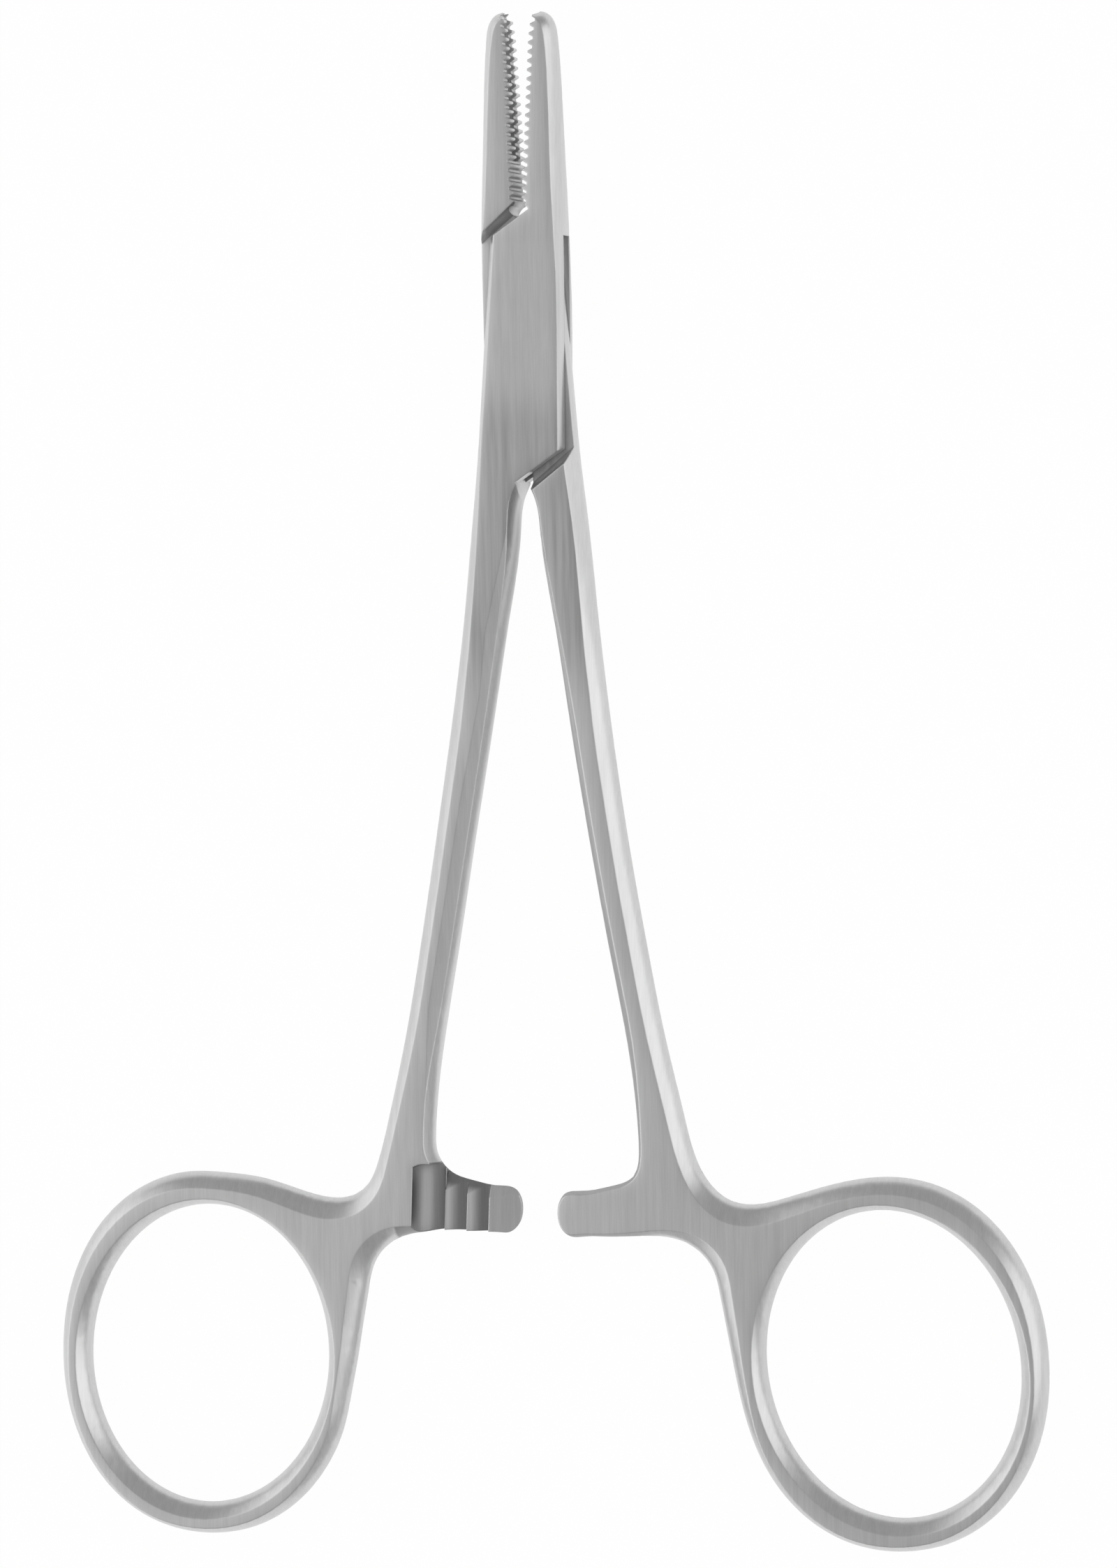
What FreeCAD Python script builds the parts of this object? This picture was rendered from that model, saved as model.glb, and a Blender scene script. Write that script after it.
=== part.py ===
import FreeCAD
import Part
import collections
import math
import os

V = FreeCAD.Vector

# Surgical needle holder, in millimetres.
#
# Two forged halves cross in a box lock. The box half carries the right jaw, the two plates of the
# lock and the left handle. The through half carries the left jaw, the thin web that passes between
# the plates and the right handle. A rivet, ground flush, holds them.
#
# Each half is drawn closed, with the pivot axis at the origin, the jaws towards +Y and the
# mid-plane of the lock at z = 0. Both are drawn the same way round, with the jaw at -x, the handle
# at +x and the ratchet teeth facing -z, and the box half is then turned over about the Y axis.

# Rest pose
REST_OPENING = 5.1          # degrees between the halves, ratchet let go

# Box lock
BOX_THICKNESS = 4.3
BOX_HALF_WIDTH = 3.6        # at the pivot
BOX_FLARE = 0.034           # the box widens by this share of the way down
BOX_TOP = 8.0               # full thickness from here
BOX_FOOT = -10.0            # down to here
SLOT_THICKNESS = 1.6
SLOT_RADIUS = 9.3           # end walls of the slot, about the pivot
SLOT_CLEARANCE = 0.05       # web to plate, each side
WEB_END_GAP = 0.25          # web to the slot's end wall
SHOULDER_SLOPE = 0.74       # rise of the slanted shoulders over their run
UPPER_SHOULDER = 10.5       # where the plates' upper shoulder crosses the centre line
LOWER_SHOULDER = -12.0      # where their lower shoulder crosses it
SHOULDER_GAP = 0.15         # along Y, plate to the foot of the through half's leaning shoulders
UPPER_FACE_RISE = 0.85      # along Y, from that foot up to the ground face
LOWER_FACE_FALL = 0.84
UPPER_FACE_SLOPE = 0.86     # the shoulders' edges on the ground face
LOWER_FACE_SLOPE = 0.70
CENTRE_GAP = 0.04           # each half stops this far from the centre line when closed
BOX_HANDLE_BEVEL = 0.78     # along the side that runs on into the handle
BOX_JAW_BEVEL = 0.3         # along the side that runs on into the jaw

# Rivet
PIN_RADIUS = 1.15
PIN_HEAD_RADIUS = 1.65
PIN_HEAD_DEPTH = 0.5
PIN_RUN_CLEARANCE = 0.04    # in the web, which turns on it

# Jaws
JAW_LENGTH = 27.46          # pivot to nose
JAW_TIP_WIDTH = 1.99        # of one jaw behind the nose
JAW_TIP_THICKNESS = 2.44
JAW_SWELL = 0.1             # outwards, between box and nose
JAW_BEVEL = 0.72            # the flat's inset from the rounded outer side
TEETH_START = 11.46
TOOTH_PITCH = 0.76
TOOTH_DEPTH = 0.38
CREST_FLAT = 0.16
VALLEY_FLAT = 0.2
TOOTH_CLEARANCE = 0.05      # between the meshed rows, along X
TIP_RELIEF = 0.28           # the rows fall back towards the nose
TIP_RELIEF_LENGTH = 3.0
GROOVE_WIDTH = 1.0
GROOVE_DEPTH = 0.45
GROOVE_START = 15.0
BASE_RELIEF_RADIUS = 0.45   # round relief at the foot of the teeth

# Shanks
SHANK_THICKNESS = 3.1
SHANK_TAPER_END = -30.0     # the thickness falls from the box to here
SHANK_ROOT = -16.2
SHANK_ROOT_X = 2.34         # middle of the shank at its root
SHANK_ROOT_WIDTH = 4.05
SHANK_WAIST_WIDTH = 3.25
SHANK_WAIST_AT = 0.70       # share of the shank's length
SHANK_BEVEL_RUN = 0.3       # share of it over which the bevels grow to their full width
FACET_SLOPE = 0.34          # the shallow facet ground along the box half's shank, front inner edge
FACET_START = 1.1           # above the shank's root
FACET_END = 23.5            # above the ring's middle
FACET_WIDTH = 1.05

# Finger rings: centre, hole and band
RING_X = 26.52
RING_Y = -87.45
HOLE_HALF_WIDTH = 10.9
HOLE_HALF_LENGTH = 12.9
BAND_SIDE = 2.4
BAND_END = 2.75
BAND_SQUARENESS = 2.1       # exponent of the outer curve, 2 is an ellipse
RING_BEVEL = 0.95
RING_BEVEL_SWAY = 0.4       # the flat sways inwards at the top and outwards at the foot

# Ratchet
ARM_Y = RING_Y + 13.63      # middle of the arm
ARM_HEIGHT = 3.75
ARM_REACH = 1.52            # past the centre line when closed
ARM_GAP = 0.06              # between the two crest planes
RATCHET_TEETH = 3
RATCHET_PITCH = 1.95
RATCHET_DEPTH = 0.55
FIRST_CREST = 1.45          # past the centre line, on the handle's own side
PAD_FALL = 0.42
SCOOP_LENGTH = 2.5          # from the last crest up to the handle's face
SCOOP_TOP = 3.7             # top of the milled pocket above the arm's middle
POCKET_CORNER = 2.2
ARM_CHAMFER_Y = 1.2         # along the top edge of the toothed face
ARM_CHAMFER_Z = 0.7
ARM_TOP_SLOPE = 0.11        # the arm's top edge rises towards the handle
ARM_BEVEL = 0.32

# The two handles were finished by hand and differ a little: the shank's bow outwards, its outer and
# inner bevels (at the root, further down), the middle of the ring's rim and of its hole, the outward
# lean of the hole's foot in degrees, the arm's middle height and its reach past the centre line
Hand = collections.namedtuple("Hand", "bow outer inner ring_x ring_y hole_x hole_y hole_tilt "
                              "arm_y arm_reach")
BOX_HAND = Hand(0.44, (1.0, 1.2), (0.45, 0.35), RING_X - 0.03, RING_Y - 0.12,
                RING_X - 0.24, RING_Y - 0.19, 3.0, ARM_Y + 0.1, ARM_REACH - 0.08)
THROUGH_HAND = Hand(-0.24, (0.72, 1.12), (0.55, 0.85), RING_X + 0.06, RING_Y + 0.24,
                    RING_X + 0.1, RING_Y + 0.26, 6.5, ARM_Y - 0.1, ARM_REACH + 0.18)
BOW_FULL = RING_Y + 41.45       # the bow has grown to its full size here
OUTER_FADE = RING_Y + 18.45     # outside it fades out from here
OUTER_FADE_END = RING_Y + 13.45
INNER_FADE = RING_Y + 18.95     # and inside from here
INNER_FADE_END = RING_Y + 15.95

HALF_BOX = BOX_THICKNESS / 2
HALF_SHANK = SHANK_THICKNESS / 2
HALF_TIP = JAW_TIP_THICKNESS / 2
BLANK_HALF = HALF_BOX + 0.6     # blanks stand proud of the faces and are then ground to them
FAR = 60.0                      # reach of the cutting blocks

SIDE_REACH = 1.05               # rounded sides run on past the ground faces by this factor


def half_thickness(y):
    """Half the thickness at height y: nose, box, taper and handle are ground in straight runs."""
    runs = [(RING_Y - FAR, HALF_SHANK), (SHANK_TAPER_END, HALF_SHANK), (BOX_FOOT, HALF_BOX),
            (BOX_TOP, HALF_BOX), (JAW_LENGTH, HALF_TIP), (JAW_LENGTH + FAR, HALF_TIP)]
    for (y0, h0), (y1, h1) in zip(runs, runs[1:]):
        if y <= y1:
            return h0 + (h1 - h0) * (y - y0) / (y1 - y0)
    return HALF_TIP


def ground_slab():
    """The space between the two ground faces, from nose to rings."""
    ys = [RING_Y - FAR, SHANK_TAPER_END, BOX_FOOT, BOX_TOP, JAW_LENGTH, JAW_LENGTH + 5]
    front = [V(-FAR, y, half_thickness(y)) for y in ys]
    back = [V(-FAR, y, -half_thickness(y)) for y in reversed(ys)]
    outline = Part.makePolygon(front + back + front[:1])
    return Part.Face(outline).extrude(V(2 * FAR, 0, 0))


def prism(points, low, high):
    """A plan outline of straight edges, raised from z = low to z = high."""
    corners = [V(x, y, low) for x, y in points]
    face = Part.Face(Part.makePolygon(corners + corners[:1]))
    return face.extrude(V(0, 0, high - low))


def inward(before, here, after):
    """Unit normal to the right of the way of travel, through three stations."""
    back = (here[0] - before[0], here[1] - before[1])
    ahead = (after[0] - here[0], after[1] - here[1])
    back_length = math.hypot(*back)
    ahead_length = math.hypot(*ahead)
    tx = back[0] * ahead_length / back_length + ahead[0] * back_length / ahead_length
    ty = back[1] * ahead_length / back_length + ahead[1] * back_length / ahead_length
    length = math.hypot(tx, ty)
    return ty / length, -tx / length


def side_surface(stations):
    """The rounded side, a parabola in section, round a clockwise loop of stations (x, y, bevel)."""
    count = len(stations)
    rows = [[], [], []]
    travel = [0.0]
    for i, (x, y, bevel) in enumerate(stations):
        after = stations[(i + 1) % count]
        nx, ny = inward(stations[i - 1], stations[i], after)
        travel.append(travel[-1] + math.hypot(after[0] - x, after[1] - y))
        inset = bevel * SIDE_REACH ** 2
        height = SIDE_REACH * half_thickness(y)
        for row, level in zip(rows, (-1, 0, 1)):
            out = inset if level else -inset
            row.append(V(x + nx * out, y + ny * out, level * height))
    curves = []
    for row in rows:
        curve = Part.BSplineCurve()
        curve.interpolate(Points=row, PeriodicFlag=True, Parameters=travel)
        curve.setNotPeriodic()
        curves.append(curve)
    side = Part.BSplineSurface()
    side.buildFromPolesMultsKnots([c.getPoles() for c in curves], [3, 3],
                                  curves[0].getMultiplicities(), [0.0, 1.0],
                                  curves[0].getKnots(), False, False, 2, 3)
    return side


def rounded_blank(stations, pieces):
    """A blank with rounded sides from a clockwise loop of stations, its side in several pieces.

    At mid thickness the side passes through each station. It curves inwards and meets the ground
    face at the bevel's distance. Above and below the ground faces it runs straight up.
    """
    side = side_surface(stations)
    first_v, last_v = side.bounds()[2:]
    knots = [v for v in side.getVKnots() if first_v <= v <= last_v]
    cuts = [knots[round(n * (len(knots) - 1) / pieces)] for n in range(pieces + 1)]
    faces = []
    caps = {-1: [], 1: []}
    for v0, v1 in zip(cuts, cuts[1:]):
        part = side.copy()
        part.segment(0.0, 1.0, v0, v1)
        faces.append(part.toShape())
        for sign, u in ((-1, 0.0), (1, 1.0)):
            rim = part.uIso(u)
            flat = rim.copy()
            for n, pole in enumerate(rim.getPoles(), 1):
                flat.setPole(n, V(pole.x, pole.y, sign * BLANK_HALF))
            faces.append(Part.makeRuledSurface(rim.toShape(), flat.toShape()))
            caps[sign].append(flat.toShape())
    for edges in caps.values():
        faces.append(Part.Face(Part.Wire(edges)))
    shell = Part.makeShell(faces)
    shell.sewShape()
    solid = Part.makeSolid(shell)
    if solid.Volume < 0:
        solid.reverse()
    return solid


def eased(share):
    """A share from 0 to 1 that starts and ends gently."""
    share = min(1.0, max(0.0, share))
    return share * share * (3 - 2 * share)


def bowed(stations, bow, fade_top, fade_foot):
    """Stations moved outwards by the bow, which fades out between two heights."""
    moved = []
    for x, y, bevel in stations:
        grown = eased((SHANK_ROOT - y) / (SHANK_ROOT - BOW_FULL))
        left = 1 - eased((fade_top - y) / (fade_top - fade_foot))
        moved.append((x + bow * grown * left, y, bevel))
    return moved


def shank_stations(side, bevels):
    """Stations down one side of the shank: side is 1 outside and -1 inside."""
    root_bevel, full_bevel = bevels
    neck_x = RING_X - 18.4
    neck_y = RING_Y + 21.4
    stations = []
    for share in (0.0, 0.15, 0.3, 0.45, 0.6, 0.72, 0.86):
        y = SHANK_ROOT + (neck_y - SHANK_ROOT) * share
        x = SHANK_ROOT_X + (neck_x - SHANK_ROOT_X) * share * (0.62 + 0.38 * share)
        waist = (share - SHANK_WAIST_AT) / SHANK_WAIST_AT
        width = SHANK_WAIST_WIDTH + (SHANK_ROOT_WIDTH - SHANK_WAIST_WIDTH) * waist ** 2
        bevel = root_bevel + (full_bevel - root_bevel) * eased(share / SHANK_BEVEL_RUN)
        stations.append((x + side * width / 2, y, bevel))
    return stations


def ring_stations(hand):
    """The outer curve of the ring, clockwise from its top to its inner side."""
    half_width = HOLE_HALF_WIDTH + BAND_SIDE
    half_length = HOLE_HALF_LENGTH + BAND_END
    power = 2 / BAND_SQUARENESS
    stations = []
    for degrees in range(94, -170, -12):
        c = math.cos(math.radians(degrees))
        s = math.sin(math.radians(degrees))
        x = hand.ring_x + half_width * math.copysign(abs(c) ** power, c)
        y = hand.ring_y + half_length * math.copysign(abs(s) ** power, s)
        stations.append((x, y, RING_BEVEL + RING_BEVEL_SWAY * s))
    return stations


def box_side(y):
    """Half the width of the box at height y."""
    return BOX_HALF_WIDTH - BOX_FLARE * y


def handle_blank(hand):
    """Shank, finger ring and ratchet arm as one rounded blank."""
    top = UPPER_SHOULDER + 2
    outer_box = [(box_side(y), y, BOX_HANDLE_BEVEL) for y in (top, BOX_TOP, 3.0, -3.0, BOX_FOOT)]
    # From the neck round the hollow outer corner to the top of the ring
    outer_corner = [(RING_X - 16.5, RING_Y + 21.3, 1.12), (RING_X - 15.5, RING_Y + 17.25, 1.2),
                    (RING_X - 14.4, RING_Y + 15.3, 1.4), (RING_X - 13.1, RING_Y + 14.3, 1.6),
                    (RING_X - 11.5, RING_Y + 13.93, 1.7), (RING_X - 8.4, RING_Y + 14.35, 1.6),
                    (RING_X - 5.0, RING_Y + 15.2, 1.45)]
    # From the ring's inner side up round the hollow under the arm
    inner_corner = [(RING_X - 13.15, RING_Y - 2.7, 1.0), (RING_X - 13.6, RING_Y, 1.1),
                    (RING_X - 14.02, RING_Y + 3.05, 1.25), (RING_X - 14.5, RING_Y + 6.4, 1.4),
                    (RING_X - 15.05, RING_Y + 8.7, 1.45), (RING_X - 16.1, RING_Y + 10.1, 1.3),
                    (RING_X - 17.4, RING_Y + 10.95, 1.0), (RING_X - 19.0, RING_Y + 11.4, 0.7)]
    low = hand.arm_y - ARM_HEIGHT / 2
    high = hand.arm_y + ARM_HEIGHT / 2
    arm = [(5.3, low - 0.12, 0.45), (2.4, low - 0.08, ARM_BEVEL), (0.6, low - 0.03, ARM_BEVEL),
           (1.05 - hand.arm_reach, low + 0.02, ARM_BEVEL),
           (0.18 - hand.arm_reach, low + 0.92, ARM_BEVEL),
           (-hand.arm_reach, hand.arm_y, ARM_BEVEL), (0.2 - hand.arm_reach, high - 0.72, ARM_BEVEL),
           (0.75 - hand.arm_reach, high, ARM_BEVEL), (1.0, high + 0.2, ARM_BEVEL),
           (3.1, high + 0.52, ARM_BEVEL)]
    crook = [(4.5, high + 0.9, 0.4), (5.4, high + 1.6, 0.45), (5.87, high + 2.75, 0.5),
             (5.98, high + 4.35, 0.55)]
    # Past the centre line the blank only runs on into the box: crotch_cutter trims it
    inner_box = [(0.13, SHANK_ROOT + 2.4, 0.5), (-0.3, -12.6, 0.5), (-1.0, -11.2, 0.3),
                 (-1.3, -9.0, 0.2), (-1.3, 4.0, 0.2), (-1.3, top, 0.2)]
    outside = bowed(shank_stations(1, hand.outer) + outer_corner, hand.bow,
                    OUTER_FADE, OUTER_FADE_END)
    inside = bowed(crook + shank_stations(-1, hand.inner)[::-1], hand.bow,
                   INNER_FADE, INNER_FADE_END)
    loop = outer_box + outside + ring_stations(hand) + inner_corner + arm + inside + inner_box
    return rounded_blank(loop, 7)


def facet_cutter(hand):
    """What the shallow facet takes off, from near the crotch down to near the arm."""
    top = SHANK_ROOT + FACET_START
    foot = RING_Y + FACET_END
    edge = bowed(shank_stations(-1, hand.inner), hand.bow, INNER_FADE, INNER_FADE_END)
    sections = []
    for share, width in ((0.0, 0.15), (0.2, FACET_WIDTH), (0.5, FACET_WIDTH), (0.85, FACET_WIDTH),
                         (1.0, 0.15)):
        y = top + (foot - top) * share
        run = [(a, b) for a, b in zip(edge, edge[1:]) if b[1] <= y] or [(edge[-2], edge[-1])]
        (xa, ya, _), (xb, yb, _) = run[0]
        inner_x = xa + (xb - xa) * (y - ya) / (yb - ya)
        face_z = -half_thickness(y)
        left = inner_x - 0.4
        right = inner_x + 0.2 + width
        past = right + 0.4
        corners = [V(past, y, face_z - 0.4 * FACET_SLOPE),
                   V(left, y, face_z + (right - left) * FACET_SLOPE),
                   V(left, y, face_z - 1), V(past, y, face_z - 1)]
        sections.append(Part.makePolygon(corners + corners[:1]))
    return Part.makeLoft(sections, True, True)


def hole_blank(hand):
    """The finger hole as a solid, wider at the faces by the band's inner bevel."""
    stations = []
    tilt = math.radians(hand.hole_tilt)
    for degrees in range(270, -90, -15):
        a = math.radians(degrees)
        x = HOLE_HALF_WIDTH * math.cos(a)
        y = HOLE_HALF_LENGTH * math.sin(a)
        bevel = RING_BEVEL - RING_BEVEL_SWAY * math.sin(a)
        stations.append((hand.hole_x + x * math.cos(tilt) - y * math.sin(tilt),
                         hand.hole_y + x * math.sin(tilt) + y * math.cos(tilt), -bevel))
    return rounded_blank(stations, 4)


def jaw_blank():
    """The jaw, from the box's foot to the nose, still whole where the teeth will be."""
    tip = JAW_TIP_WIDTH
    end = JAW_LENGTH
    low = LOWER_SHOULDER - 4
    side = [(-box_side(y), y, BOX_JAW_BEVEL) for y in (low, BOX_FOOT, -3.0, 3.0)]
    side += [(-box_side(BOX_TOP), BOX_TOP, 0.5)]
    root = box_side(BOX_TOP)
    for share in (0.27, 0.52, 0.76):
        y = BOX_TOP + (end - 2.2 - BOX_TOP) * share
        side.append((-root + (root - tip) * share - JAW_SWELL, y, JAW_BEVEL))
    nose = [(-tip, end - 2.2, 0.8), (0.18 - tip, end - 1.25, 0.85),
            (0.5 - tip, end - 0.58, 0.85), (0.95 - tip, end - 0.16, 0.8), (1.5 - tip, end, 0.7)]
    # Past the centre line the loop only closes the blank: the gripping face is cut off it
    spare = [(0.4, end - 0.1, 0.4), (1.6, end - 1.2, 0.4), (2.0, end - 5.0, 0.4), (2.0, 12.0, 0.4),
             (2.0, 4.0, 0.4), (2.0, -4.0, 0.4), (1.9, low + 3, 0.4), (0.0, low - 0.5, 0.4)]
    return rounded_blank(side + nose + spare, 4)


def tooth_row(phase):
    """The gripping face as plan points from its foot to past the nose: phase is 1 or -1."""
    points = [(-CENTRE_GAP, -FAR / 2), (-CENTRE_GAP, TEETH_START - TOOTH_PITCH / 2)]
    y = TEETH_START
    side = phase
    while y < JAW_LENGTH + TOOTH_PITCH:
        into_nose = max(0.0, (y - JAW_LENGTH + TIP_RELIEF_LENGTH) / TIP_RELIEF_LENGTH)
        fall = TIP_RELIEF * into_nose ** 2
        x = side * TOOTH_DEPTH / 2 - TOOTH_CLEARANCE / 2 - fall
        flat = CREST_FLAT if side > 0 else VALLEY_FLAT
        points += [(x, y - flat / 2), (x, y + flat / 2)]
        side = -side
        y += TOOTH_PITCH / 2
    return points


def grip_cutter(phase):
    """What lies beyond the gripping face, with the groove along it and the relief at its foot."""
    row = tooth_row(phase)
    outline = row + [(FAR / 2, row[-1][1]), (FAR / 2, row[0][1])]
    cutter = prism(outline, -BLANK_HALF - 1, BLANK_HALF + 1)
    groove = Part.makeBox(GROOVE_DEPTH + 1, JAW_LENGTH - GROOVE_START + 2, GROOVE_WIDTH,
                          V(-GROOVE_DEPTH, GROOVE_START, -GROOVE_WIDTH / 2))
    relief = Part.makeCylinder(BASE_RELIEF_RADIUS, 2 * BLANK_HALF + 2,
                               V(0, TEETH_START - TOOTH_PITCH, -BLANK_HALF - 1))
    return cutter.fuse([groove, relief])


def above(offset, slope):
    """The block over the slanted line y = offset + slope * x."""
    reach = FAR / 2
    return prism([(-reach, offset - slope * reach), (reach, offset + slope * reach),
                  (reach, offset + FAR), (-reach, offset + FAR)], -BLANK_HALF - 1, BLANK_HALF + 1)


def below(offset, slope):
    """The block under the slanted line y = offset + slope * x."""
    reach = FAR / 2
    return prism([(-reach, offset - slope * reach), (reach, offset + slope * reach),
                  (reach, offset - FAR), (-reach, offset - FAR)], -BLANK_HALF - 1, BLANK_HALF + 1)


def past_shoulder(side, foot_line, face_line):
    """What lies past a shoulder that leans back towards both faces: above it (1) or below (-1).

    The shoulder's foot, next to the web, and its edge on the ground face are lines in plan, each
    an offset and a slope.
    """
    web_z = SLOT_THICKNESS / 2
    far_z = BLANK_HALF + 1
    rise = (far_z - web_z) / (HALF_BOX - web_z)
    far_line = [foot + (face - foot) * rise for foot, face in zip(foot_line, face_line)]
    reach = FAR / 2
    sections = []
    for z, line in ((-far_z, far_line), (-web_z, foot_line), (web_z, foot_line), (far_z, far_line)):
        offset, slope = line
        corners = [V(-reach, offset - slope * reach, z), V(reach, offset + slope * reach, z),
                   V(reach, offset + side * FAR, z), V(-reach, offset + side * FAR, z)]
        sections.append(Part.makePolygon(corners + corners[:1]))
    return Part.makeLoft(sections, True, True)


def crotch_cutter():
    """What lies past the centre line under the box, where the two handles meet when closed."""
    edge = CENTRE_GAP
    reach = 2 * BOX_HALF_WIDTH
    return prism([(edge, LOWER_SHOULDER - SHOULDER_SLOPE * edge),
                  (-reach, LOWER_SHOULDER + SHOULDER_SLOPE * reach),
                  (-reach, SHANK_ROOT), (edge, SHANK_ROOT)], -BLANK_HALF - 1, BLANK_HALF + 1)


def ratchet_cutter(hand):
    """Everything behind the arm's toothed face, with the scoop that runs out of the handle."""
    crest = ARM_GAP / 2
    valley = crest + RATCHET_DEPTH
    x = FIRST_CREST
    start = V(-hand.arm_reach - 3, 0, crest + PAD_FALL)
    points = [start, V(-hand.arm_reach, 0, crest + PAD_FALL), V(x, 0, crest)]
    edges = [Part.makeLine(points[0], points[1]), Part.makeLine(points[1], points[2])]
    lean = 0.08                 # the steep flanks lean a little
    for _ in range(RATCHET_TEETH - 1):
        foot = V(x + lean, 0, valley)
        middle = V(x + RATCHET_PITCH * 0.45, 0, crest + RATCHET_DEPTH * 0.75)
        top = V(x + RATCHET_PITCH, 0, crest)
        edges.append(Part.makeLine(V(x, 0, crest), foot))
        edges.append(Part.Arc(foot, middle, top).toShape())
        x += RATCHET_PITCH
    foot = V(x + lean, 0, valley)
    out = V(x + SCOOP_LENGTH, 0, -HALF_SHANK)
    middle = V(x + SCOOP_LENGTH * 0.62, 0, (valley - HALF_SHANK) / 2 + 0.42)
    past = V(out.x + 0.8, 0, -BLANK_HALF - 1)
    edges.append(Part.makeLine(V(x, 0, crest), foot))
    edges.append(Part.Arc(foot, middle, out).toShape())
    edges.append(Part.makeLine(out, past))
    corner = V(start.x, 0, past.z)
    edges.append(Part.makeLine(past, corner))
    edges.append(Part.makeLine(corner, start))
    profile = Part.Face(Part.Wire(edges))
    profile.translate(V(0, hand.arm_y - ARM_HEIGHT, 0))
    cutter = profile.extrude(V(0, ARM_HEIGHT + SCOOP_TOP, 0))
    return cutter.common(pocket_plan(hand, start.x, out.x)).fuse(arm_chamfer(hand, x))


def pocket_plan(hand, left, right):
    """The milled pocket seen from the front, with one round corner at its top."""
    low = hand.arm_y - ARM_HEIGHT
    high = hand.arm_y + SCOOP_TOP
    r = POCKET_CORNER
    right += 1.0
    on_arc = V(right - r * (1 - math.sqrt(0.5)), high - r * (1 - math.sqrt(0.5)), 0)
    round_corner = Part.Arc(V(right, high - r, 0), on_arc, V(right - r, high, 0)).toShape()
    corners = [V(right - r, high, 0), V(left, high, 0), V(left, low, 0), V(right, low, 0),
               V(right, high - r, 0)]
    sides = [Part.makeLine(a, b) for a, b in zip(corners, corners[1:])]
    face = Part.Face(Part.Wire([round_corner] + sides))
    face.translate(V(0, 0, -BLANK_HALF - 1))
    return face.extrude(V(0, 0, 2 * BLANK_HALF + 2))


def arm_chamfer(hand, end_x):
    """The chamfer along the top edge of the toothed face, from the arm's end to end_x."""
    start_x = -hand.arm_reach - 1
    edge_y = hand.arm_y + ARM_HEIGHT / 2 - 1.3 * ARM_TOP_SLOPE
    crest = ARM_GAP / 2
    fall = ARM_CHAMFER_Z / ARM_CHAMFER_Y
    y0 = edge_y - ARM_CHAMFER_Y - 0.5
    y1 = edge_y + 2
    corners = [V(start_x, y0, crest - 0.5 * fall), V(start_x, y1, crest + (y1 - y0 - 0.5) * fall),
               V(start_x, y1, -BLANK_HALF), V(start_x, y0, -BLANK_HALF)]
    face = Part.Face(Part.makePolygon(corners + corners[:1]))
    run = end_x - start_x
    return face.extrude(V(run, run * ARM_TOP_SLOPE, 0))


def handle(hand):
    """The handle blank with its finger hole and ratchet cut."""
    return handle_blank(hand).cut([hole_blank(hand), ratchet_cutter(hand), crotch_cutter()])


def slot_space():
    """The space between the plates, open where the through half leaves it."""
    half = SLOT_THICKNESS / 2
    disc = Part.makeCylinder(SLOT_RADIUS, SLOT_THICKNESS, V(0, 0, -half))
    jaw_side = Part.makeBox(FAR / 4, UPPER_SHOULDER + 3, SLOT_THICKNESS, V(-CENTRE_GAP, 0, -half))
    handle_side = Part.makeBox(FAR / 4, 8 - LOWER_SHOULDER, SLOT_THICKNESS,
                               V(CENTRE_GAP - FAR / 4, LOWER_SHOULDER - 8, -half))
    return disc.fuse([jaw_side, handle_side])


def web_layer():
    """The web's disc and the roots that tie it to its jaw and to its handle, still untrimmed."""
    thickness = SLOT_THICKNESS - 2 * SLOT_CLEARANCE
    low = -thickness / 2
    disc = Part.makeCylinder(SLOT_RADIUS - WEB_END_GAP, thickness, V(0, 0, low))
    width = 2 * BOX_HALF_WIDTH
    jaw_root = Part.makeBox(width, UPPER_SHOULDER + 3, thickness, V(-CENTRE_GAP - width, 0, low))
    handle_root = Part.makeBox(width, 4 - LOWER_SHOULDER, thickness,
                               V(CENTRE_GAP, LOWER_SHOULDER - 4, low))
    return disc, jaw_root, handle_root


def rivet():
    """The rivet, which fills its seat in the plates: a pin with a countersunk head at each face."""
    r = PIN_RADIUS
    half = HALF_BOX
    profile = [V(0, 0, -half), V(PIN_HEAD_RADIUS, 0, -half), V(r, 0, PIN_HEAD_DEPTH - half),
               V(r, 0, half - PIN_HEAD_DEPTH), V(PIN_HEAD_RADIUS, 0, half), V(0, 0, half)]
    face = Part.Face(Part.makePolygon(profile + profile[:1]))
    return face.revolve(V(0, 0, 0), V(0, 0, 1), 360)


def box_half():
    """Plates, jaw and handle of the half that holds the rivet."""
    plates = handle(BOX_HAND).cut([above(UPPER_SHOULDER, -SHOULDER_SLOPE), facet_cutter(BOX_HAND)])
    jaw = jaw_blank().cut([grip_cutter(-1), below(LOWER_SHOULDER, -SHOULDER_SLOPE)])
    body = plates.fuse(jaw).common(ground_slab())
    body = body.cut([slot_space(), rivet()])
    body.rotate(V(0, 0, 0), V(0, 1, 0), 180)
    return body.removeSplitter()


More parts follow.
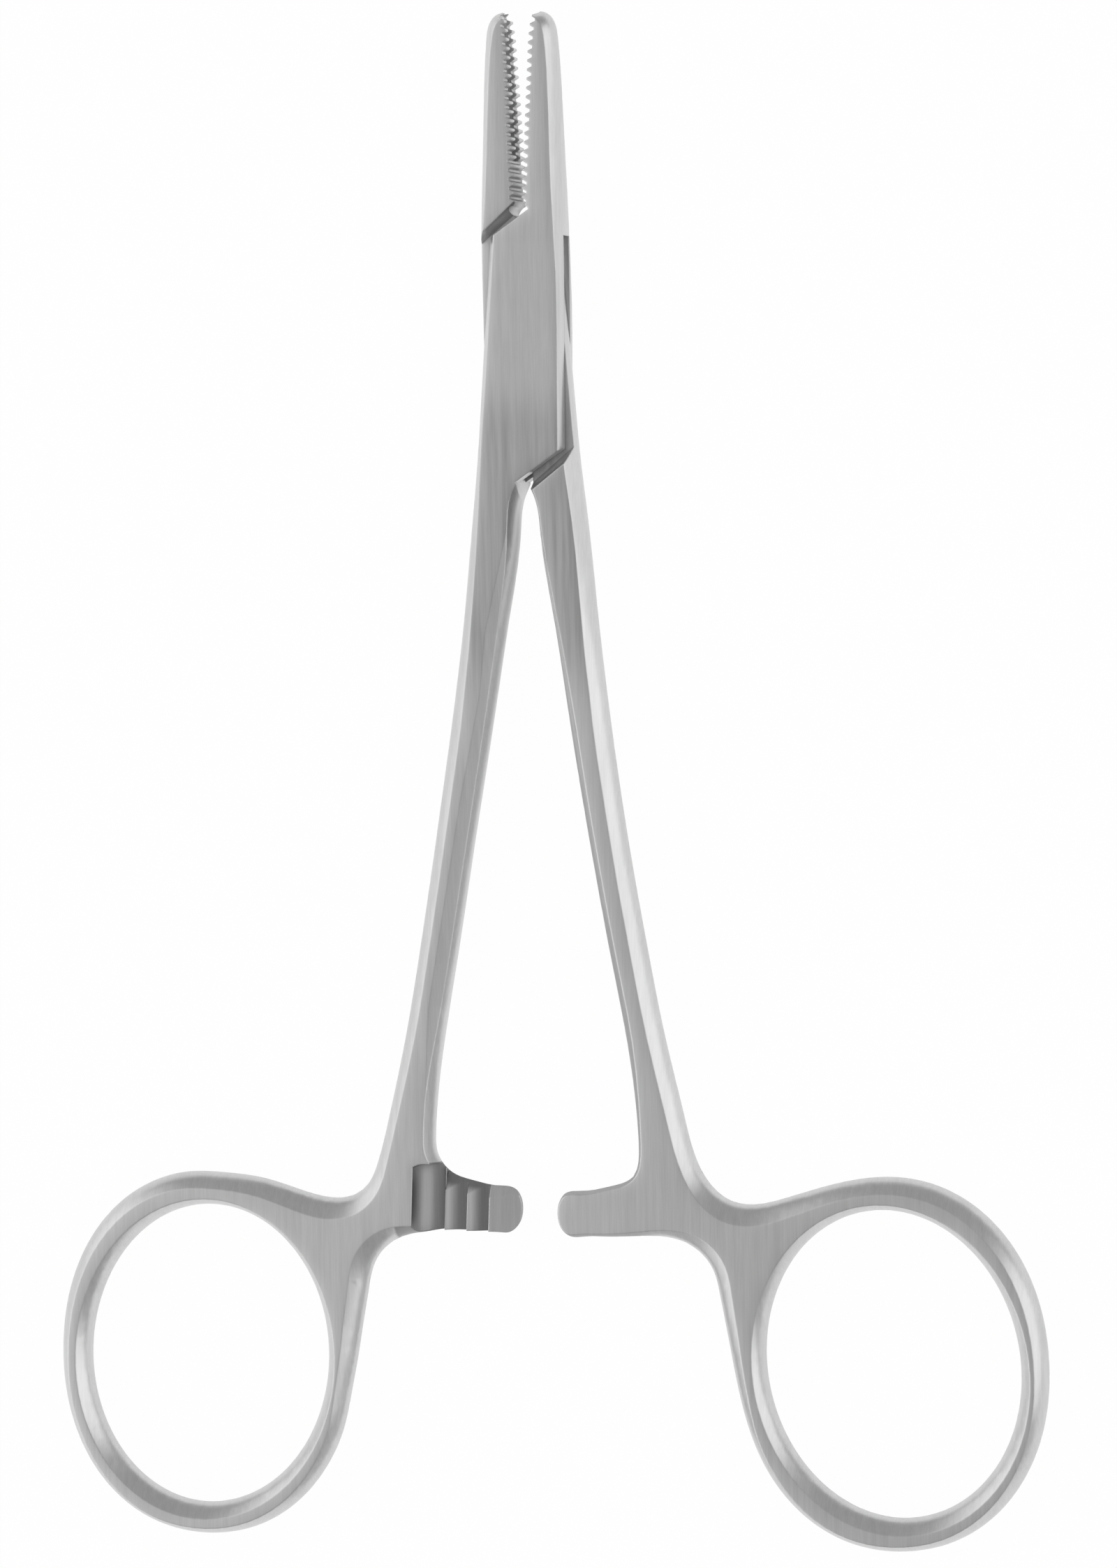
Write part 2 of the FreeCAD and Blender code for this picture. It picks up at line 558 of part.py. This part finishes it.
def through_half():
    """Jaw, web and handle of the half that passes through the box."""
    whole_jaw = jaw_blank()
    grip = handle(THROUGH_HAND)
    disc, jaw_root, handle_root = web_layer()
    toothed = whole_jaw.cut(grip_cutter(1))
    web = [disc.common(whole_jaw.fuse(grip)), jaw_root.common(toothed), handle_root.common(grip)]
    upper = UPPER_SHOULDER + SHOULDER_GAP
    lower = LOWER_SHOULDER - SHOULDER_GAP
    jaw = toothed.cut(past_shoulder(-1, (upper, SHOULDER_SLOPE),
                                    (upper + UPPER_FACE_RISE, UPPER_FACE_SLOPE)))
    grip = grip.cut(past_shoulder(1, (lower, SHOULDER_SLOPE),
                                  (lower - LOWER_FACE_FALL, LOWER_FACE_SLOPE)))
    body = grip.fuse([jaw] + web).common(ground_slab())
    bore = Part.makeCylinder(PIN_RADIUS + PIN_RUN_CLEARANCE, BOX_THICKNESS, V(0, 0, -HALF_BOX))
    return body.cut(bore).removeSplitter()


def place(shape, turn):
    """Turn a half to the rest pose and set the box's back face at z = 0."""
    shape.rotate(V(0, 0, 0), V(0, 0, 1), turn)
    shape.translate(V(0, 0, HALF_BOX))
    return shape


def main():
    os.makedirs("parts", exist_ok=True)
    nodes = {
        "box_half": place(box_half(), -REST_OPENING / 2),
        "through_half": place(through_half(), REST_OPENING / 2),
        "pivot_rivet": place(rivet(), 0),
    }
    for name, shape in nodes.items():
        shape.exportStep("parts/" + name + ".step")
        print(name, "solids", len(shape.Solids), "valid", shape.isValid(),
              "volume", round(shape.Volume, 1), "faces", len(shape.Faces))


main()
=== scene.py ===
import math

import bpy
from mathutils import Matrix, Vector

# Surgical needle holder lying on a pale studio floor. Metres, in the part's own frame: +Y towards
# the jaws, +Z out of the front face, the pivot's axis through the origin.

MM = 0.001

# Camera, solved from the photograph's outlines
VIEW_TARGET = Vector((2.1154, -37.488, 2.15)) * MM
VIEW_BACK = Vector((0.300265, 0.039246, 0.953048))      # from the target to the camera
VIEW_RIGHT = Vector((0.953847, -0.016614, -0.299832))
VIEW_DISTANCE = 527.49 * MM
IMAGE_LONG_SIDE = 2247
FOCAL_PIXELS = 8967.3
SENSOR = 36.0
CLIP_NEAR = 0.05
CLIP_FAR = 10.0

# Light: a white tent, with a bright panel on either side, a weak one overhead, and a dim patch
# where it is open. Each patch has a direction, the cosines where it starts and is full, and its
# strength.
TENT = 0.45
TENT_FLOOR = 0.8
PATCHES = (((-0.92, 0.0, 0.39), 0.58, 0.9, 0.8),
           ((0.906, 0.1, 0.41), 0.84, 0.94, 0.9),
           ((0.42, 0.03, 0.907), 0.9, 0.985, 0.16),
           ((0.105, 0.02, 0.994), 0.985, 0.9975, -0.2))
WHITE = (1.0, 1.0, 1.0, 1.0)
FLOOR_COLOUR = (0.93, 0.93, 0.93, 1.0)
FLOOR_SIZE = 1.6
FLOOR_DROP = 0.05 * MM          # below the part, so that no faces share a plane
FLOOR_BRIGHT_SHARE = 0.98       # how far the camera sees the floor as plain white
# The floor's brightness where the steel mirrors it, and painted shade between the shanks, as if they
# shaded it
FLOOR_IN_STEEL = 1.0
FLOOR_SHADE_BETWEEN = 0.55
SHANK_SPREAD = 0.13             # half the space between the shanks, as a share of the way down
CROTCH = -13.0 * MM
CROTCH_FADE = 3 * MM            # along the shanks
SHANK_FADE = (-1 * MM, 1.5 * MM)        # across the edge of the shaded space

# Brushed steel: noise in cycles per metre along X, Y and Z, with its detail and roughness
BRUSH_FINE = ((11000.0, 260.0, 3000.0), 3.0, 0.65)
BRUSH_BROAD = ((2200.0, 70.0, 900.0), 2.0, 0.5)
CLOUD = ((160.0, 90.0, 160.0), 2.0, 0.5)
FINE_SHARE = 0.6                # of the brushing, the rest is broad
BRUSH_SHARE = 0.8               # of the tone, the rest is cloud
TONE_RANGE = (0.92, 1.08)
STEEL = 0.62
ROUGHNESS = 0.24
BRUSH_ROUGHNESS = 0.12
BUMP_STRENGTH = 0.16
BUMP_HEIGHT = 0.01 * MM
EDGE_ROUNDING = 0.17 * MM       # seen on every edge but the rivet's, which was ground flush
RIVET_REACH = 2.2 * MM
CROWN_REACH = 1.7 * MM          # the flats were polished by hand and fall away a little at the edges
CROWN = 0.1
EDGE_SAMPLES = 6
RECESS_REACH = 1.3 * MM         # painted shade: recesses, found by ambient occlusion, are darker and less metallic
RECESS_SAMPLES = 8
RECESS_SHADE_METALLIC = 0.25
RECESS_SHADE_TONE = 0.8
# Painted shade on the toothed arm, in the box half's own lines, over the scoop and the foot of each
# ramp:
# ranges along X, Y and Z, the soft edge of each range, and how much of the tone is left
REST_TURN = math.radians(2.55)
PAINTED_SHADE_PLACES = (((-9.2, -5.5), (-77.0, -69.9), (1.4, 3.66), (0.3, 0.02, 0.02), 0.46),
               ((-5.42, -1.5), (-77.0, -69.9), (1.2, 1.66), (0.02, 0.3, 0.36), 0.45))
# The flats at the foot of the box were brushed last, and are a little darker: along Y
BRUSHED_FROM = (-33.0 * MM, -24.0 * MM)
BRUSHED_TO = (-8.0 * MM, -3.0 * MM)
BRUSHED_TONE = 0.78
FLAT_FACING = (0.93, 0.99)      # upward share of the normal where a face counts as a flat


class Nodes:
    """A node tree with short ways to add and link."""

    def __init__(self, tree):
        self.tree = tree
        tree.nodes.clear()

    def add(self, kind, **values):
        node = self.tree.nodes.new(kind)
        for name, value in values.items():
            setattr(node, name, value)
        return node

    def link(self, source, target):
        self.tree.links.new(source, target)

    def math(self, operation, a, b=None):
        node = self.add("ShaderNodeMath", operation=operation)
        for socket, value in zip(node.inputs, (a, b)):
            if value is None:
                continue
            if isinstance(value, (int, float)):
                socket.default_value = value
            else:
                self.link(value, socket)
        return node.outputs[0]

    def split(self, vector):
        """The X, Y and Z of a vector."""
        node = self.add("ShaderNodeSeparateXYZ")
        self.link(vector, node.inputs[0])
        return node.outputs

    def ramp(self, value, low, high, out_low=0.0, out_high=1.0):
        """Smooth step of a value between low and high."""
        node = self.add("ShaderNodeMapRange", interpolation_type="SMOOTHSTEP")
        self.link(value, node.inputs["Value"])
        for name, number in (("From Min", low), ("From Max", high),
                             ("To Min", out_low), ("To Max", out_high)):
            node.inputs[name].default_value = number
        return node.outputs["Result"]

    def noise(self, vector, scale, detail, roughness):
        """Noise with its own scale along each axis, in cycles per metre."""
        stretch = self.add("ShaderNodeMapping")
        stretch.inputs["Scale"].default_value = scale
        self.link(vector, stretch.inputs["Vector"])
        node = self.add("ShaderNodeTexNoise")
        node.inputs["Scale"].default_value = 1.0
        node.inputs["Detail"].default_value = detail
        node.inputs["Roughness"].default_value = roughness
        self.link(stretch.outputs[0], node.inputs["Vector"])
        return node.outputs["Fac"]

    def blend(self, a, b, share):
        """Weighted sum of two values: the share of a, and the rest of b."""
        return self.math("ADD", self.math("MULTIPLY", a, share),
                         self.math("MULTIPLY", b, 1 - share))


def painted_shade_tone(n, place):
    """A dimmer tone, painted as shade on the scoop and the foot of each ramp of the toothed arm."""
    turn = n.add("ShaderNodeVectorRotate", rotation_type="Z_AXIS")
    turn.inputs["Angle"].default_value = REST_TURN
    n.link(place, turn.inputs["Vector"])
    along = n.split(turn.outputs[0])
    tone = 1.0
    for x_range, y_range, z_range, edges, left in PAINTED_SHADE_PLACES:
        inside = 1.0
        for axis, (low, high), edge in zip("XYZ", (x_range, y_range, z_range), edges):
            rising = n.ramp(along[axis], (low - edge) * MM, low * MM)
            falling = n.ramp(along[axis], high * MM, (high + edge) * MM, 1.0, 0.0)
            inside = n.math("MULTIPLY", n.math("MULTIPLY", rising, falling), inside)
        dimmed = n.math("SUBTRACT", 1.0, n.math("MULTIPLY", inside, 1.0 - left))
        tone = n.math("MULTIPLY", dimmed, tone)
    return tone


def brushed_tone(n, place, streaks):
    """A darker, streaky tone on the freshly brushed stretch of the flats."""
    way = n.split(place)["Y"]
    stretch = n.math("MULTIPLY", n.ramp(way, *BRUSHED_FROM), n.ramp(way, *BRUSHED_TO, 1.0, 0.0))
    facing = n.split(n.add("ShaderNodeNewGeometry").outputs["Normal"])["Z"]
    stretch = n.math("MULTIPLY", stretch, n.ramp(facing, *FLAT_FACING))
    streaky = n.math("MULTIPLY", stretch, n.ramp(streaks, 0.2, 0.7, 1.3, 0.7))
    return n.math("SUBTRACT", 1.0, n.math("MULTIPLY", streaky, 1.0 - BRUSHED_TONE))


def softened_normal(n, place):
    """The normal with rounded edges and crowned flats, and left plain around the rivet."""
    edges = []
    for reach in (EDGE_ROUNDING, CROWN_REACH):
        edge = n.add("ShaderNodeBevel", samples=EDGE_SAMPLES)
        edge.inputs["Radius"].default_value = reach
        edges.append(edge.outputs[0])
    crowned = n.add("ShaderNodeMix", data_type="VECTOR")
    crowned.inputs["Factor"].default_value = CROWN
    n.link(edges[0], crowned.inputs["A"])
    n.link(edges[1], crowned.inputs["B"])
    across = n.add("ShaderNodeVectorMath", operation="MULTIPLY")
    n.link(place, across.inputs[0])
    across.inputs[1].default_value = (1.0, 1.0, 0.0)
    from_axis = n.add("ShaderNodeVectorMath", operation="LENGTH")
    n.link(across.outputs[0], from_axis.inputs[0])
    normal = n.add("ShaderNodeMix", data_type="VECTOR")
    n.link(n.math("GREATER_THAN", from_axis.outputs["Value"], RIVET_REACH), normal.inputs["Factor"])
    n.link(n.add("ShaderNodeNewGeometry").outputs["Normal"], normal.inputs["A"])
    n.link(crowned.outputs["Result"], normal.inputs["B"])
    return normal.outputs["Result"]


def brushed_steel(name):
    """Satin steel, brushed along the length of the piece, with painted shade that makes its recesses
    darker and less metallic.
    """
    material = bpy.data.materials.new(name)
    material.use_nodes = True
    n = Nodes(material.node_tree)
    place = n.add("ShaderNodeTexCoord").outputs["Object"]
    broad = n.noise(place, *BRUSH_BROAD)
    brush = n.blend(n.noise(place, *BRUSH_FINE), broad, FINE_SHARE)
    recess = n.add("ShaderNodeAmbientOcclusion", samples=RECESS_SAMPLES)
    recess.inputs["Distance"].default_value = RECESS_REACH
    openness = recess.outputs["AO"]

    tone = n.ramp(n.blend(brush, n.noise(place, *CLOUD), BRUSH_SHARE), 0.3, 0.7, *TONE_RANGE)
    # painted shade: the tone is darker in the recesses found by ambient occlusion
    for factor in (STEEL, n.ramp(openness, 0.2, 0.95, RECESS_SHADE_TONE, 1.0),
                   # painted shade: the tone is darker on the toothed arm's scoop and ramp feet
                   painted_shade_tone(n, place), brushed_tone(n, place, broad)):
        tone = n.math("MULTIPLY", tone, factor)
    colour = n.add("ShaderNodeCombineColor")
    for channel in ("Red", "Green", "Blue"):
        n.link(tone, colour.inputs[channel])

    bump = n.add("ShaderNodeBump")
    bump.inputs["Strength"].default_value = BUMP_STRENGTH
    bump.inputs["Distance"].default_value = BUMP_HEIGHT
    n.link(brush, bump.inputs["Height"])
    n.link(softened_normal(n, place), bump.inputs["Normal"])

    shader = n.add("ShaderNodeBsdfPrincipled")
    # painted shade: less metallic in the recesses
    n.link(n.ramp(openness, 0.4, 0.9, RECESS_SHADE_METALLIC, 1.0), shader.inputs["Metallic"])
    n.link(colour.outputs[0], shader.inputs["Base Color"])
    n.link(n.math("ADD", n.math("MULTIPLY", brush, BRUSH_ROUGHNESS), ROUGHNESS),
           shader.inputs["Roughness"])
    n.link(bump.outputs["Normal"], shader.inputs["Normal"])
    out = n.add("ShaderNodeOutputMaterial")
    n.link(shader.outputs[0], out.inputs["Surface"])
    return material


def floor_in_steel(n):
    """The floor's brightness in reflections, with painted shade between the shanks."""
    place = n.split(n.add("ShaderNodeNewGeometry").outputs["Position"])
    down = n.math("SUBTRACT", CROTCH, place["Y"])
    aside = n.math("SUBTRACT", n.math("ABSOLUTE", place["X"]),
                   n.math("MULTIPLY", down, SHANK_SPREAD))
    between = n.math("MULTIPLY", n.ramp(aside, *SHANK_FADE, 1.0, 0.0),
                     n.ramp(down, 0.0, CROTCH_FADE))
    return n.math("SUBTRACT", FLOOR_IN_STEEL,
                  n.math("MULTIPLY", between, FLOOR_IN_STEEL - FLOOR_SHADE_BETWEEN))


def floor_material():
    """Pale floor, nearly white to the camera and in reflections, with the object's soft shadow."""
    material = bpy.data.materials.new("studio_floor")
    material.use_nodes = True
    n = Nodes(material.node_tree)
    path = n.add("ShaderNodeLightPath")
    directly = path.outputs["Is Camera Ray"]
    seen = n.math("MAXIMUM", directly, path.outputs["Is Glossy Ray"])
    seen = n.math("MAXIMUM", seen, path.outputs["Is Transmission Ray"])
    diffuse = n.add("ShaderNodeBsdfDiffuse")
    diffuse.inputs["Color"].default_value = FLOOR_COLOUR
    white = n.add("ShaderNodeEmission")
    n.link(n.math("ADD", directly,
                  n.math("MULTIPLY", floor_in_steel(n), n.math("SUBTRACT", 1.0, directly))),
           white.inputs["Strength"])
    mix = n.add("ShaderNodeMixShader")
    n.link(n.math("MULTIPLY", seen, FLOOR_BRIGHT_SHARE), mix.inputs[0])
    n.link(diffuse.outputs[0], mix.inputs[1])
    n.link(white.outputs[0], mix.inputs[2])
    out = n.add("ShaderNodeOutputMaterial")
    n.link(mix.outputs[0], out.inputs["Surface"])
    return material


def build_floor():
    half = FLOOR_SIZE / 2
    mesh = bpy.data.meshes.new("studio_floor")
    mesh.from_pydata([(-half, -half, 0), (half, -half, 0), (half, half, 0), (-half, half, 0)],
                     [], [(0, 1, 2, 3)])
    floor = bpy.data.objects.new("studio_floor", mesh)
    bpy.context.scene.collection.objects.link(floor)
    floor.location = (0, 0, -FLOOR_DROP)
    mesh.materials.append(floor_material())


def build_world():
    """Light from all round, by direction: the tent and its patches above, the floor below."""
    world = bpy.data.worlds.new("tent")
    bpy.context.scene.world = world
    world.use_nodes = True
    n = Nodes(world.node_tree)
    direction = n.add("ShaderNodeTexCoord").outputs["Generated"]
    level = TENT
    for centre, start, full, strength in PATCHES:
        towards = n.add("ShaderNodeVectorMath", operation="DOT_PRODUCT")
        n.link(direction, towards.inputs[0])
        towards.inputs[1].default_value = Vector(centre).normalized()
        patch = n.ramp(towards.outputs["Value"], start, full, 0.0, strength)
        level = n.math("ADD", patch, level)
    over = n.math("GREATER_THAN", n.split(direction)["Z"], 0.0)
    under = n.math("SUBTRACT", 1.0, over)
    strength = n.math("ADD", n.math("MULTIPLY", level, over),
                      n.math("MULTIPLY", under, TENT_FLOOR))
    light = n.add("ShaderNodeBackground")
    n.link(strength, light.inputs["Strength"])
    plain = n.add("ShaderNodeBackground")
    for background in (light, plain):
        background.inputs["Color"].default_value = WHITE
    path = n.add("ShaderNodeLightPath")
    mix = n.add("ShaderNodeMixShader")
    n.link(path.outputs["Is Camera Ray"], mix.inputs[0])
    n.link(light.outputs[0], mix.inputs[1])
    n.link(plain.outputs[0], mix.inputs[2])
    out = n.add("ShaderNodeOutputWorld")
    n.link(mix.outputs[0], out.inputs["Surface"])


def build_camera():
    data = bpy.data.cameras.new("camera")
    data.sensor_width = SENSOR
    data.lens = FOCAL_PIXELS / IMAGE_LONG_SIDE * SENSOR
    data.clip_start = CLIP_NEAR
    data.clip_end = CLIP_FAR
    camera = bpy.data.objects.new("camera", data)
    bpy.context.scene.collection.objects.link(camera)
    back = VIEW_BACK.normalized()
    right = (VIEW_RIGHT - back * VIEW_RIGHT.dot(back)).normalized()
    up = back.cross(right)
    turn = Matrix((right, up, back)).transposed().to_4x4()
    camera.matrix_world = Matrix.Translation(VIEW_TARGET + back * VIEW_DISTANCE) @ turn
    bpy.context.scene.camera = camera


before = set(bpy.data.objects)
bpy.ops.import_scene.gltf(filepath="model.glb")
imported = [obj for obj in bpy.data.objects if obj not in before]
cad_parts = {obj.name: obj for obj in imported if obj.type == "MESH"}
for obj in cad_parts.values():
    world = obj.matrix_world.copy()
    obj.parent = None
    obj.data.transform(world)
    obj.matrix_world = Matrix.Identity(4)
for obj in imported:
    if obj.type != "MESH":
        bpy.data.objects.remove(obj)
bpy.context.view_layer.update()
bpy.context.scene.view_settings.view_transform = "Standard"

build_camera()
build_floor()
build_world()
steel = brushed_steel("brushed_steel")
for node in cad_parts.values():        # each CAD node keeps its mesh and takes the material
    node.data.materials.clear()
    node.data.materials.append(steel)
